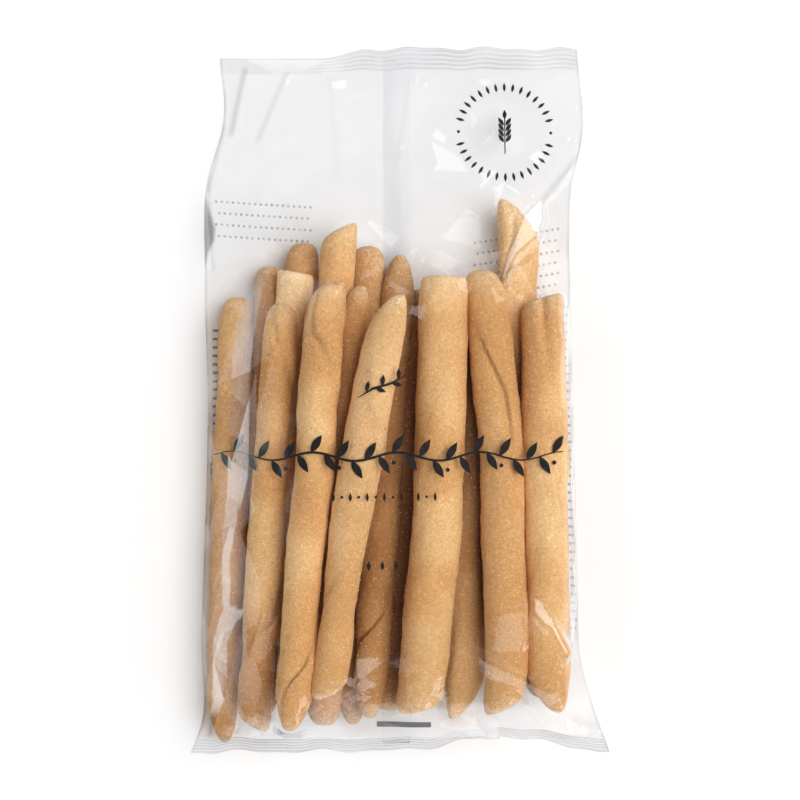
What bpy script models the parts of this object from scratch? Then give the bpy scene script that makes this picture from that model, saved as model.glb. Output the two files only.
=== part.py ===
"""A clear sealed bag of hand-rolled breadsticks, lying on its back with the printed side up.

One closed solid stands for the pack out to its film. The film is drawn tight over a heap
of breadsticks, so their ridges, their tips and the hollows between them show in its front.
The width of the bag runs along X, the top seal is at +Y, and +Z points out of the front.
"""

import math

import bmesh
import bpy
import numpy as np

MM = 0.001                      # sizes below are in millimetres, the model is in metres

# The bag
BAG_LENGTH = 192.0              # from the bottom corners to the highest point of the top seal
TOP_SEAL_WIDTH = 6.0            # the crimped seals, as seen from the front
BOTTOM_SEAL_WIDTH = 4.6
SEAL_RIBS = 5                   # ribs pressed across each seal
RIB_HEIGHT = 0.25
FILM_GAP = 0.8                  # thickness of the solid where the two films meet
FILM_MARGIN = 0.6               # air between a stick and the film over it
TOP_SEAL_HEIGHT = 5.0           # how high the seals ride above the table, at their inner edge
BOTTOM_SEAL_HEIGHT = 13.0
TOP_SEAL_DROP = 0.6             # how far they bend down to their outer edge
TOP_FOLD_DROP = 2.6             # more where the top seal is folded over
BOTTOM_SEAL_DROP = 6.0
SIDE_HEIGHT = 9.5               # where front and back meet along the filled sides
RESTING_LIFT = 0.7              # the back lies on the table wherever it hangs lower than this

# Sides of the bag: (y, x) from the bottom corner to the top corner
LEFT_SIDE = [(-96, -57), (-90, -54.4), (-66, -53.9), (0, -52.2), (35, -53.0),
             (59, -52.6), (76, -48.2), (96, -49.4)]
RIGHT_SIDE = [(-96, 57), (-84, 52.6), (-70, 49.0), (-50, 48.3), (0, 47.0),
              (59, 46.6), (70, 49.4), (96, 48.4)]

# The top seal is folded over on the left, so its edge is lower there
TOP_EDGE_LEFT = 92.4
TOP_EDGE_RIGHT = 96.0
TOP_STEP_AT = -15.0
TOP_STEP_LENGTH = 9.0
# The bottom seal bows up right of the middle
BOTTOM_BOW = 4.2
BOTTOM_BOW_AT = 27.0
BOTTOM_BOW_LENGTH = 17.0

# The sheet that the film is made from
COLUMNS = 40
EDGE_CROWDING = 0.4             # 0 for even columns, more for columns close to the sides
SHEET_STOPS = [-78, -60, 20, 58]        # the rows of points are closer over the tips
SHEET_ROWS = [8, 4, 8, 11, 7]           # rows from seal to stop, stop to stop and stop to seal
DRAPE_STEPS = 900

# Breadsticks, in three layers: foot (x, y, z), head (x, y, z), diameter, bow to the right
STICKS = [
    ((-48.9, -93.2, 5.4), (-45.2, 28.1, 5.6), 10.2, 1.2),
    ((-38.4, -86.0, 5.2), (-35.2, 36.4, 5.2), 10.0, 0),
    ((-27.5, -78.0, 5.4), (-26.7, 43.0, 5.4), 10.4, 0),
    ((-13.4, -88.4, 5.3), (-8.6, 41.6, 5.3), 10.2, 0),
    ((-8.2, -85.6, 13.6), (0.7, 39.4, 7.5), 10.6, 0.4),
    ((5.5, -80.0, 5.3), (9.5, 30.0, 5.3), 10.4, 0),
    ((17.6, -86.4, 7.0), (18.4, 28.0, 6.5), 11.6, 0),
    ((29.0, -64.0, 6.0), (32.6, 54.4, 8.0), 12.0, 0),
    ((39.0, -81.0, 5.6), (39.0, 26.0, 5.6), 10.6, 0),
    ((-39.9, -87.4, 15.6), (-32.0, 25.6, 19.4), 10.8, 0.2),
    ((-33.5, -66.0, 9.5), (-28.0, 34.4, 14.0), 10.0, 0),
    ((-23.0, -62.0, 10.0), (-16.4, 46.4, 13.5), 10.8, 0),
    ((-20.8, -87.2, 15.0), (-11.6, 30.8, 17.0), 10.0, 0),
    ((5.6, -81.8, 19.0), (11.6, 33.0, 20.0), 14.2, 1.8),
    ((28.6, -82.6, 17.6), (22.3, 34.8, 18.6), 12.6, 1.8),
    ((40.6, -83.6, 16.4), (38.8, 27.5, 16.2), 12.6, 0),
    ((-28.7, -87.4, 25.2), (-19.0, 30.8, 25.6), 11.5, 0.2),
    ((-18.3, -80.8, 26.8), (-2.4, 28.0, 26.8), 12.4, 0),
]
TIP_LENGTH = 9.0                # over this length a stick narrows to its tip
TIP_SIZE = 0.4                  # share of the diameter left at the very tip

CLEAR_FILM = (0.93, 0.93, 0.92, 0.35)

TOP_SEAL_LINE = BAG_LENGTH / 2 - TOP_SEAL_WIDTH
BOTTOM_SEAL_LINE = BOTTOM_SEAL_WIDTH - BAG_LENGTH / 2


def through(y, points):
    """A smooth curve through (y, value) points."""
    at, value = np.array(points, float).T
    slope = np.gradient(value, at)
    k = np.clip(np.searchsorted(at, y, side="right") - 1, 0, len(at) - 2)
    span = at[k + 1] - at[k]
    t = np.clip((y - at[k]) / span, 0, 1)
    rise = t * t * (3 - 2 * t)
    return (value[k] * (1 - rise) + value[k + 1] * rise
            + span * t * (1 - t) * (slope[k] * (1 - t) - slope[k + 1] * t))


def hump(x, centre, length):
    """1 at the centre, falling smoothly to 0."""
    return np.exp(-((x - centre) / length) ** 2)


def unfolded(x):
    """0 where the top seal is folded over, 1 where it lies open."""
    return 1 / (1 + np.exp(-(x - TOP_STEP_AT) / (TOP_STEP_LENGTH / 4)))


def top_edge(x):
    ripple = 0.35 * np.sin(x / 3.1) + 0.25 * np.sin(x / 1.7 + 1)
    return TOP_EDGE_LEFT + (TOP_EDGE_RIGHT - TOP_EDGE_LEFT + ripple) * unfolded(x)


def bottom_edge(x):
    ripple = 0.4 * np.sin(x / 3.3 + 2) + 0.25 * np.sin(x / 1.9)
    bow = BOTTOM_BOW * hump(x, BOTTOM_BOW_AT, BOTTOM_BOW_LENGTH)
    return -BAG_LENGTH / 2 + bow + (ripple + 0.4) * (np.abs(x) < 52)


def heap_over(x, y):
    """Upper and lower limit of the sticks, with the film's margin, at each point of a sheet."""
    upper = np.full(x.shape, -np.inf)
    lower = np.full(x.shape, np.inf)
    for foot, head, diameter, bow in STICKS:
        run = np.subtract(head, foot)
        length = np.hypot(run[0], run[1])
        reached = ((x - foot[0]) * run[0] + (y - foot[1]) * run[1]) / length ** 2
        t = np.clip(reached, 0, 1)
        beyond = (reached - t) * length
        beside = ((x - foot[0]) * run[1] - (y - foot[1]) * run[0]) / length
        off_axis = np.hypot(beside - bow * np.sin(math.pi * t), beyond)
        to_tip = np.minimum(np.minimum(t, 1 - t) * length / TIP_LENGTH, 1)
        girth = diameter / 2 * (TIP_SIZE + (1 - TIP_SIZE) * np.sqrt(1 - (1 - to_tip) ** 2))
        bulge = (girth + FILM_MARGIN) ** 2 - off_axis ** 2
        half = np.sqrt(np.maximum(bulge, 0))
        middle = foot[2] * (1 - t) + head[2] * t
        upper = np.where(bulge > 0, np.maximum(upper, middle + half), upper)
        lower = np.where(bulge > 0, np.minimum(lower, middle - half), lower)
    return upper, lower


def sheet_rows():
    """y of every row of the flat sheet: dense over the ribs of the seals."""
    outer = BAG_LENGTH / 2
    bottom = np.linspace(-outer, BOTTOM_SEAL_LINE, 2 * SEAL_RIBS, endpoint=False)
    top = np.linspace(outer, TOP_SEAL_LINE, 2 * SEAL_RIBS, endpoint=False)[::-1]
    stops = [BOTTOM_SEAL_LINE, *SHEET_STOPS, TOP_SEAL_LINE]
    middle = [np.linspace(start, end, count, endpoint=False)
              for start, end, count in zip(stops, stops[1:], SHEET_ROWS)]
    return np.concatenate([bottom, *middle, [TOP_SEAL_LINE], top])


def sheet_plan(rows):
    """x and y of the sheet's points, columns first."""
    u = np.linspace(-1, 1, COLUMNS)
    spread = (1 - EDGE_CROWDING) * u + EDGE_CROWDING * np.sin(u * math.pi / 2)
    left = through(rows, LEFT_SIDE)
    right = through(rows, RIGHT_SIDE)
    x = left + (right - left) * (spread[:, None] + 1) / 2
    near_top = np.clip((rows - 70) / 26, 0, 1) ** 3
    near_bottom = np.clip((-80 - rows) / 16, 0, 1)
    y = (rows + (top_edge(x) - BAG_LENGTH / 2) * near_top
         + (bottom_edge(x) + BAG_LENGTH / 2) * near_bottom)
    return x, y


def rim_height(x, rows):
    """Height of the line where front and back meet: sides and seals, with their ribs."""
    side = np.interp(rows, [BOTTOM_SEAL_LINE, -78, 20, TOP_SEAL_LINE],
                     [BOTTOM_SEAL_HEIGHT, SIDE_HEIGHT, SIDE_HEIGHT, TOP_SEAL_HEIGHT])
    into_top = np.clip((rows - TOP_SEAL_LINE) / TOP_SEAL_WIDTH, 0, 1)
    into_bottom = np.clip((BOTTOM_SEAL_LINE - rows) / BOTTOM_SEAL_WIDTH, 0, 1)
    into_seal = np.maximum(into_top, into_bottom)
    ribs = RIB_HEIGHT * np.cos(into_seal * SEAL_RIBS * 2 * math.pi) * (into_seal > 0)
    wave = 0.7 * np.sin(x / 9) + 0.4 * np.sin(x / 4.3 + 1)
    drop = (into_top * (TOP_SEAL_DROP + TOP_FOLD_DROP * (1 - unfolded(x)))
            + into_bottom * BOTTOM_SEAL_DROP)
    return side + ribs + wave * into_seal - drop


def drape(x, y, rim, free, limit_below=None, limit_above=None):
    """Draw a film tight from its rim over what it covers."""
    across = 1 / np.diff(x, axis=0) ** 2
    along = 1 / np.diff(y, axis=1) ** 2
    weight = across[:-1, 1:-1] + across[1:, 1:-1] + along[1:-1, :-1] + along[1:-1, 1:]
    z = rim.copy()
    if limit_below is not None:
        z = np.maximum(z, limit_below)
    for _ in range(DRAPE_STEPS):
        mean = (across[:-1, 1:-1] * z[:-2, 1:-1] + across[1:, 1:-1] * z[2:, 1:-1]
                + along[1:-1, :-1] * z[1:-1, :-2] + along[1:-1, 1:] * z[1:-1, 2:]) / weight
        if limit_below is not None:
            mean = np.maximum(mean, limit_below[1:-1, 1:-1])
        if limit_above is not None:
            mean = np.clip(mean, 0, np.maximum(limit_above[1:-1, 1:-1], 0))
        z[1:-1, 1:-1] = np.where(free[1:-1, 1:-1], mean, z[1:-1, 1:-1])
    return z


def bag_film():
    """Points of the front and the back film, as two sheets of the same plan."""
    rows = sheet_rows()
    x, y = sheet_plan(rows)
    rim = rim_height(x, rows)
    upper, lower = heap_over(x, y)
    free = np.zeros(x.shape, bool)
    free[1:-1] = (rows > BOTTOM_SEAL_LINE) & (rows < TOP_SEAL_LINE)
    front = drape(x, y, rim, free, limit_below=upper)
    back = drape(x, y, rim, free, limit_above=lower)
    back = np.where(free & (back < RESTING_LIFT), 0, back)
    middle = (front + back) / 2
    front = np.maximum(front, middle + FILM_GAP / 2)
    back = np.minimum(back, middle - FILM_GAP / 2)
    print(f"bag: {np.ptp(x):.1f} x {np.ptp(y):.1f} x {front.max() - back.min():.1f} mm")
    return x, y, front, back


def clear_film():
    material = bpy.data.materials.new("clear_film")
    material.use_nodes = True
    shader = material.node_tree.nodes["Principled BSDF"]
    shader.inputs["Base Color"].default_value = (*CLEAR_FILM[:3], 1)
    shader.inputs["Alpha"].default_value = CLEAR_FILM[3]
    shader.inputs["Roughness"].default_value = 0.12
    shader.inputs["Metallic"].default_value = 0
    return material


def make_bag(collection):
    """A flat grid, thickened into a slab, whose two faces then take the films' heights."""
    x, y, front, back = bag_film()
    columns, rows = x.shape
    mesh = bpy.data.meshes.new("bag")
    cloth = bmesh.new()
    bmesh.ops.create_grid(cloth, x_segments=columns - 1, y_segments=rows - 1, size=1)
    upper_faces = list(cloth.faces)
    for vert in cloth.verts:
        vert.co.z = 1
    lower = bmesh.ops.extrude_face_region(cloth, geom=upper_faces, use_keep_orig=True)
    for item in lower["geom"]:
        if isinstance(item, bmesh.types.BMVert):
            item.co.z = -1
    for vert in cloth.verts:
        i = round((vert.co.x + 1) / 2 * (columns - 1))
        j = round((vert.co.y + 1) / 2 * (rows - 1))
        film = front if vert.co.z > 0 else back
        vert.co = (x[i, j] * MM, y[i, j] * MM, film[i, j] * MM)
    bmesh.ops.recalc_face_normals(cloth, faces=cloth.faces)
    bmesh.ops.triangulate(cloth, faces=cloth.faces)
    cloth.to_mesh(mesh)
    cloth.free()
    mesh.materials.append(clear_film())
    bag = bpy.data.objects.new("bag", mesh)
    collection.objects.link(bag)
    print(f"bag: {len(mesh.polygons)} triangles")
    return bag


def main():
    for old in list(bpy.data.objects):
        bpy.data.objects.remove(old)
    collection = bpy.data.collections.new("bag_of_breadsticks")
    bpy.context.scene.collection.children.link(collection)
    make_bag(collection)


main()
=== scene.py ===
# %% [markdown]
# # A clear bag of hand-rolled breadsticks
#
# The bag is a film tube, crimped shut at both ends and filled with short breadsticks. It can't
# stand by itself, so it lies on its back and the camera looks straight down on the printed
# front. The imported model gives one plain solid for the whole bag. This lesson replaces it with
# what is really there: the sticks, the film drawn tight over them, the crimped seals, the ink
# and the grains of semolina.
#
# Sizes are written in millimetres and turned into metres where a mesh is made.

# %% The frame
import math

import bpy
import numpy as np
from mathutils import Matrix, Vector
from mathutils.bvhtree import BVHTree
from mathutils.geometry import delaunay_2d_cdt


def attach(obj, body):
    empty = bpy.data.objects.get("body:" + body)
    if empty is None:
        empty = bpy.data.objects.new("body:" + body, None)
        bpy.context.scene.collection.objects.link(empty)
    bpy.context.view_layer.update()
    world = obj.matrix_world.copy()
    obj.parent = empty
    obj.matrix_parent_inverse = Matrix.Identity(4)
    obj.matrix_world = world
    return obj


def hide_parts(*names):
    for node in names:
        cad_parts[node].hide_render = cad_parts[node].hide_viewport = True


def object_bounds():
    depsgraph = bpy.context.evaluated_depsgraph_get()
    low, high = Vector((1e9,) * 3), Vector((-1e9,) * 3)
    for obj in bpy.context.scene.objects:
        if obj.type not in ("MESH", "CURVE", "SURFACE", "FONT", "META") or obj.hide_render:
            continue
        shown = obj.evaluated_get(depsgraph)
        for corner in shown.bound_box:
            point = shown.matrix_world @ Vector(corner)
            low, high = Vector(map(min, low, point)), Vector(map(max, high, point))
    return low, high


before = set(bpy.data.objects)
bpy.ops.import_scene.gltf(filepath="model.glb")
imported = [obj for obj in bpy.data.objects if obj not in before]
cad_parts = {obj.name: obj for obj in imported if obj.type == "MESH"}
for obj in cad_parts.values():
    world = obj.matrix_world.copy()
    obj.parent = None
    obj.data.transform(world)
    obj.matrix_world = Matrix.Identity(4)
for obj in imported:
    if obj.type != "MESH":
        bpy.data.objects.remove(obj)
cad_box = [[float(value) for value in corner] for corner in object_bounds()]
MM = 0.001
print("the CAD bag reaches from", cad_box[0], "to", cad_box[1])

# %% [markdown]
# ## Camera, floor and light
#
# The lens is long, so that a stick on top of the heap looks no bigger than one below it. A thin
# film mirrors whatever its slope points at. Seen from above, its flat parts mirror the middle
# of the ceiling, so that stays dark and the panels stand to the sides. Then only the folds and
# the slopes of the film catch a glare, as on the real bag.

# %% Camera
VIEW_WIDTH = 216.0
LENS = 100.0
SENSOR = 36.0
RIM_LEVEL = 12.0
camera_height = VIEW_WIDTH * LENS / SENSOR + RIM_LEVEL
bpy.ops.object.camera_add(location=(0, 0, camera_height * MM), rotation=(0, 0, 0))
camera = bpy.context.object
camera.name = "camera"
camera.data.lens = LENS
camera.data.sensor_width = SENSOR
bpy.context.scene.camera = camera
print(f"the camera looks down from {camera_height:.0f} mm")

# %% Floor and sky
def plain_material(name, colour, roughness):
    material = bpy.data.materials.new(name)
    material.use_nodes = True
    shader = material.node_tree.nodes["Principled BSDF"]
    shader.inputs["Base Color"].default_value = (*colour, 1)
    shader.inputs["Roughness"].default_value = roughness
    return material


bpy.ops.object.select_all(action="DESELECT")
bpy.ops.mesh.primitive_plane_add(size=4)
floor = bpy.context.object
floor.name = "floor"
floor.data.materials.append(plain_material("pale_floor", (0.95, 0.95, 0.95), 0.9))

sky = bpy.data.worlds.new("studio")
sky.use_nodes = True
sky_tree = sky.node_tree
direction = sky_tree.nodes.new("ShaderNodeTexCoord")
split = sky_tree.nodes.new("ShaderNodeSeparateXYZ")
grade = sky_tree.nodes.new("ShaderNodeValToRGB")
grade.color_ramp.elements[0].position = 0.03
grade.color_ramp.elements[0].color = (0.8, 0.8, 0.8, 1)
grade.color_ramp.elements[1].position = 0.24
grade.color_ramp.elements[1].color = (0.05, 0.051, 0.053, 1)
sky_tree.links.new(direction.outputs["Generated"], split.inputs["Vector"])
sky_tree.links.new(split.outputs["Z"], grade.inputs["Fac"])
sky_tree.links.new(grade.outputs["Color"], sky_tree.nodes["Background"].inputs["Color"])
bpy.context.scene.world = sky

# %% Panels of light
# compass direction (degrees from the right, towards the head), angle from straight up,
# breadth and height (metres), light, and whether it is for the sticks or for the film's glare
PANELS = {
    "key_right": (8, 26, 1.7, 1.7, 4.3, "light"),
    "side_right": (5, 55, 3.0, 1.1, 1.3, "light"),
    "side_left": (175, 55, 3.0, 1.1, 1.3, "light"),
    "side_foot": (-90, 55, 2.0, 0.8, 1.0, "light"),
    "card_foot": (-90, 74, 3.2, 0.9, 1.1, "glare"),
    "card_foot_right": (-48, 58, 0.9, 0.6, 2.0, "glare"),
    "card_head_right": (38, 46, 0.5, 0.4, 1.8, "glare"),
    "card_head_low": (72, 60, 0.5, 0.4, 1.4, "glare"),
    "card_patch": (-70, 34, 0.26, 0.26, 0.8, "glare"),
    "card_head": (95, 42, 2.5, 0.5, 0.2, "glare"),
}
PANEL_DISTANCE = 2.0
for name, (compass, slant, breadth, height, brightness, purpose) in PANELS.items():
    out = math.sin(math.radians(slant)) * PANEL_DISTANCE
    place = Vector((out * math.cos(math.radians(compass)), out * math.sin(math.radians(compass)),
                    math.cos(math.radians(slant)) * PANEL_DISTANCE))
    bpy.ops.object.light_add(type="AREA", location=place)
    panel = bpy.context.object
    panel.name = name
    panel.data.shape = "RECTANGLE"
    panel.data.size = breadth
    panel.data.size_y = height
    panel.data.energy = brightness * math.pi * breadth * height
    panel.rotation_euler = place.to_track_quat("Z", "Y").to_euler()
    panel.visible_glossy = purpose == "glare"
    panel.visible_diffuse = purpose == "light"
bpy.context.scene.view_settings.view_transform = "Standard"

# %% [markdown]
# ## The heap
#
# About eighteen sticks lie in three layers: a row on the table, a row in its hollows and a few
# on top. Each one gets a place for its foot and its head, a thickness, and a bow to the right.
# The ones in front are placed with care. The ones below only have to fill the bag.

# %% Places of the breadsticks
# foot (x, y, z), head (x, y, z), diameter, bow to the right
STICKS = {
    "left": ((-48.5, -93.2, 6.3), (-44.4, 28.1, 6.5), 10.8, 0.5),
    "under_left": ((-38.4, -86.0, 5.9), (-35.2, 36.4, 5.9), 10.0, 0),
    "back_left": ((-27.5, -78.0, 6.1), (-26.7, 43.0, 6.1), 10.4, 0),
    "back_middle": ((-13.4, -88.4, 6.0), (-8.6, 41.6, 6.0), 10.2, 0),
    "behind_leaning": ((-8.6, -85.6, 13.6), (0.7, 39.4, 7.5), 10.3, -0.6),
    "under_thick": ((-3.2, -84.6, 6.0), (6.5, 30.0, 6.0), 10.4, 0),
    "behind_gap": ((17.6, -86.4, 7.2), (18.4, 28.0, 7.0), 11.6, 0),
    "tallest": ((29.0, -64.0, 6.8), (32.6, 54.4, 8.4), 12.0, 0),
    "under_right": ((39.0, -81.0, 6.2), (39.0, 26.0, 6.2), 10.6, 0),
    "second": ((-39.5, -87.4, 15.6), (-31.6, 25.6, 19.0), 10.5, 0.5),
    "broken": ((-33.5, -66.0, 9.5), (-28.2, 34.4, 13.6), 10.9, 0),
    "tall_left": ((-23.0, -62.0, 10.0), (-16.4, 46.4, 13.5), 10.8, 0),
    "dark_middle": ((-20.8, -87.2, 15.0), (-11.6, 30.8, 17.0), 10.0, 0),
    "thick": ((5.2, -82.8, 19.0), (11.7, 33.0, 20.0), 14.2, 1.6),
    "creased": ((28.6, -82.6, 17.6), (22.3, 34.8, 18.6), 12.6, 1.8),
    "right": ((39.9, -83.6, 16.4), (38.0, 27.5, 16.2), 12.6, 0),
    "third": ((-28.7, -87.4, 25.2), (-19.0, 30.8, 25.6), 11.5, 0.2),
    "leaning": ((-18.7, -78.4, 26.6), (-1.9, 28.0, 26.6), 12.1, -1.7),
}
top = max(foot[2] + diameter / 2 for foot, _, diameter, _ in STICKS.values())
print(f"{len(STICKS)} sticks, heaped {top:.1f} mm high")

# %% [markdown]
# ## Rolling the sticks
#
# A hand-rolled stick starts as a strip of dough that is rolled up, twisted and pulled. That
# leaves an uneven rope with a seam that winds around it and tips that are round, blunt or
# pinched. It is modelled the same way: a disc is extruded again and again, and each step
# moves, turns and resizes it a little. Afterwards the seam is pressed in as a small ledge that
# comes and goes, and the rope is bowed. Subdivision rounds it, and two Displace modifiers give
# the lumps and the rough skin.

# %% One rope of dough
RING = 18
# how wide the very tip is, the length over which it widens, and how round its flank is
TIPS = {"round": (0.34, 6.5, 2.0), "blunt": (0.62, 4.5, 2.0), "cut": (0.8, 2.0, 2.0),
        "pinched": (0.2, 11.0, 1.45), "square": (0.76, 3.4, 2.2)}
STATION_GAP = 5.5
OVAL = 0.94
dice = np.random.default_rng(20)


def widening(distance, tip):
    """Share of the full thickness at a distance from a tip."""
    start, reach, flank = TIPS[tip]
    inside = np.clip(distance / reach, 0, 1)
    return start + (1 - start) * (1 - (1 - inside) ** flank) ** (1 / flank)


def stations(length, foot_tip, head_tip):
    """Distances at which the disc is extruded: closer together near the tips."""
    start = np.array([0, 0.08, 0.28, 0.6]) * TIPS[foot_tip][1]
    end = length - np.array([0.6, 0.28, 0.08, 0]) * TIPS[head_tip][1]
    count = int((end[0] - TIPS[foot_tip][1]) / STATION_GAP) + 1
    middle = np.linspace(TIPS[foot_tip][1], end[0], count, endpoint=False)
    return np.concatenate([start, middle, end])


def extrude_rope(places, sizes, turn_per_mm):
    """A slightly oval disc, extruded from station to station, resized and turned at each."""
    bpy.ops.object.select_all(action="DESELECT")
    bpy.ops.mesh.primitive_circle_add(vertices=RING, radius=sizes[0] * MM, fill_type="TRIFAN")
    rope = bpy.context.object
    bpy.ops.object.mode_set(mode="EDIT")
    bpy.ops.mesh.select_all(action="SELECT")
    bpy.ops.transform.resize(value=(1, OVAL, 1))
    for k in range(1, len(places)):
        rise = places[k] - places[k - 1]
        centre = (0, 0, places[k] * MM)
        factor = sizes[k] / sizes[k - 1]
        bpy.ops.mesh.extrude_region_move(TRANSFORM_OT_translate={"value": (0, 0, rise * MM)})
        bpy.ops.transform.resize(value=(factor, factor, 1), center_override=centre)
        bpy.ops.transform.rotate(value=-turn_per_mm * rise, orient_axis="Z",
                                 center_override=centre)
    bpy.ops.object.mode_set(mode="OBJECT")
    return rope


def points_of(mesh):
    flat = np.empty(len(mesh.vertices) * 3)
    mesh.vertices.foreach_get("co", flat)
    return flat.reshape(-1, 3)


def set_points(mesh, points):
    mesh.vertices.foreach_set("co", np.asarray(points, dtype=np.float32).ravel())
    mesh.update()


def store(mesh, name, values):
    """Keep one number for each vertex, for the material to read."""
    layer = mesh.attributes.new(name, "FLOAT", "POINT")
    layer.data.foreach_set("value", np.asarray(values, dtype=np.float32))


def wander(knots, spread):
    """A smooth random curve from 0 to 1, through a few random numbers."""
    heights = dice.normal(0, spread, knots)

    def value(t):
        k = np.clip((t * (knots - 1)).astype(int), 0, knots - 2)
        inside = t * (knots - 1) - k
        rise = inside * inside * (3 - 2 * inside)
        return heights[k] * (1 - rise) + heights[k + 1] * rise

    return value


# %% [markdown]
# The seam is where the last turn of the dough strip ends. One side of it stands up as a flap,
# the other dips under it, and a dark line of painted shade runs between. It comes and goes along the
# stick.

# %% Press in the seams
# along each seam: share of the length from the foot, angle from the top towards the right,
# flap and groove (mm), darkness of its line of painted shade
SEAMS = {
    "left": [[(0, 140, 0.2, 0, 0), (0.5, 75, 0.3, 0, 0.2), (1, 100, 0.3, 0, 0)]],
    "under_left": [[(0, -60, 0.4, 0, 0.4), (1, 200, 0.4, 0.2, 0.3)]],
    "back_left": [[(0, -60, 0.4, 0, 0.4), (0.7, 30, 0.3, 0, 0.1), (1, 60, 0.3, 0, 0)]],
    "back_middle": [[(0, -60, 0.4, 0, 0.4), (0.8, 80, 0.3, 0, 0), (1, 90, 0.2, 0, 0)]],
    "behind_leaning": [[(0, -140, 0.4, 0, 0.3), (0.12, -75, 0.5, 0, 0.7),
                        (0.163, -43, 0.6, 0.2, 1), (0.196, 0, 0.6, 0.3, 1),
                        (0.226, 34, 0.5, 0.2, 0.9), (0.3, 85, 0.4, 0, 0.3),
                        (1, 240, 0.3, 0, 0)]],
    "under_thick": [[(0, -60, 0.4, 0, 0.4), (1, 150, 0.3, 0, 0.2)]],
    "behind_gap": [[(0, -80, 0.4, 0, 0.3), (0.3, -10, 0.3, 0, 0.3), (1, 150, 0.3, 0, 0)]],
    "tallest": [[(0, 0, 0.3, 0, 0.2), (0.8, -100, 0.5, 0.3, 0.2), (0.87, 30, 0.6, 0.9, 0.3),
                 (0.92, 75, 0.5, 0.9, 0.2), (1, 120, 0.4, 0.8, 0)],
                [(0.6, -160, 0.2, 0.2, 0), (0.82, -60, 0.5, 0.6, 0.2), (0.9, -25, 0.6, 0.9, 0.3),
                 (1, 10, 0.3, 0.5, 0)]],
    "under_right": [[(0, 60, 0.4, 0, 0.4), (1, 200, 0.3, 0, 0.2)]],
    "second": [[(0, -200, 0.4, 0, 0.2), (0.145, -75, 0.5, 0.1, 0.2), (0.17, -45, 0.5, 0.1, 0.3),
                (0.22, -13, 0.6, 0.2, 0.6), (0.24, 28, 0.6, 0.3, 1), (0.27, 65, 0.5, 0.2, 1),
                (0.5, 180, 0.3, 0, 0)],
               [(0.6, 170, 0.2, 0, 0), (0.78, 95, 0.4, 0.2, 0.2), (0.822, 60, 0.7, 0.5, 0.4),
                (0.869, 34, 0.8, 0.7, 0.3), (0.92, -11, 0.7, 0.7, 0.2), (0.967, -41, 0.5, 0.6, 0),
                (1, -60, 0.2, 0.5, 0)]],
    "broken": [[(0, 60, 0.2, 0, 0), (1, 100, 0.2, 0, 0)]],
    "tall_left": [[(0, -90, 0.4, 0, 0.4), (0.75, 70, 0.3, 0, 0.1), (1, 95, 0.3, 0, 0)]],
    "dark_middle": [[(0, -60, 0.4, 0, 0.4), (1, 120, 0.3, 0, 0.2)]],
    "thick": [[(0, -120, 0.2, 0, 0), (0.55, -60, 0.2, 0, 0), (0.78, 5, 0.35, 0, 0.1),
               (0.84, 30, 0.3, 0, 0), (1, 80, 0.2, 0, 0)]],
    "creased": [[(0, 170, 0.2, 0, 0), (0.25, 110, 0.2, 0, 0), (0.48, 65, 0.4, 0, 0.1),
                 (0.6, 34, 0.5, 0.1, 0.5), (0.66, 33, 0.7, 0.3, 0.9), (0.717, 30, 0.8, 0.3, 1),
                 (0.825, -19, 0.6, 0.2, 1), (0.86, -32, 0.3, 0, 0.2), (1, -90, 0.2, 0, 0)]],
    "right": [[(0, -100, 0.3, 0, 0.2), (0.3, -60, 0.3, 0, 0), (0.6, 60, 0.2, 0, 0),
               (0.8, 18, 0.3, 0.4, 0), (0.93, 2, 0.4, 1.2, 0), (1, -6, 0.3, 2.0, 0)]],
    "third": [[(0, -80, 0.3, 0, 0.2), (0.07, -42, 0.4, 0.2, 0.5), (0.119, -7, 0.5, 0.3, 1),
               (0.152, 29, 0.5, 0.3, 1), (0.2, 60, 0.4, 0.2, 0.5), (0.35, 130, 0.2, 0, 0)],
              [(0.1, -110, 0.2, 0, 0), (0.206, -35, 0.3, 0.1, 0), (0.257, 20, 0.3, 0.1, 0),
               (0.32, 70, 0.2, 0, 0), (0.5, 160, 0.1, 0, 0)],
              [(0.6, 190, 0.2, 0, 0), (0.74, 90, 0.5, 0.2, 0.1), (0.816, 39, 0.9, 0.5, 0.3),
               (0.859, 0, 1.0, 0.8, 0.4), (0.888, -37, 0.9, 0.8, 0.4), (0.977, -51, 0.6, 0.6, 0.1),
               (1, -60, 0.3, 0.4, 0)]],
    "leaning": [[(0, -170, 0.2, 0, 0), (0.15, -110, 0.3, 0, 0), (0.21, -78, 0.6, 0.2, 0.2),
                 (0.27, -35, 0.5, 0.2, 0.1), (0.31, -5, 0.4, 0.1, 0), (0.4, 30, 0.2, 0, 0),
                 (0.5, 90, 0.1, 0, 0)],
                [(0.5, 120, 0.2, 0, 0), (0.62, 45, 0.35, 0.1, 0), (0.72, -5, 0.5, 0.3, 0.2),
                 (0.78, -25, 0.3, 0.2, 0), (1, -90, 0.2, 0, 0)]],
}
SEAM_DEPTH = 1.7
FLAP_LENGTH = 4.6
DIP_LENGTH = 3.4
SOFT_EDGE = 1.5
SHARP_EDGE = 0.35
GROOVE_WIDTH = 1.4
SEAM_SHADE_WIDTH = 0.4


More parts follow.
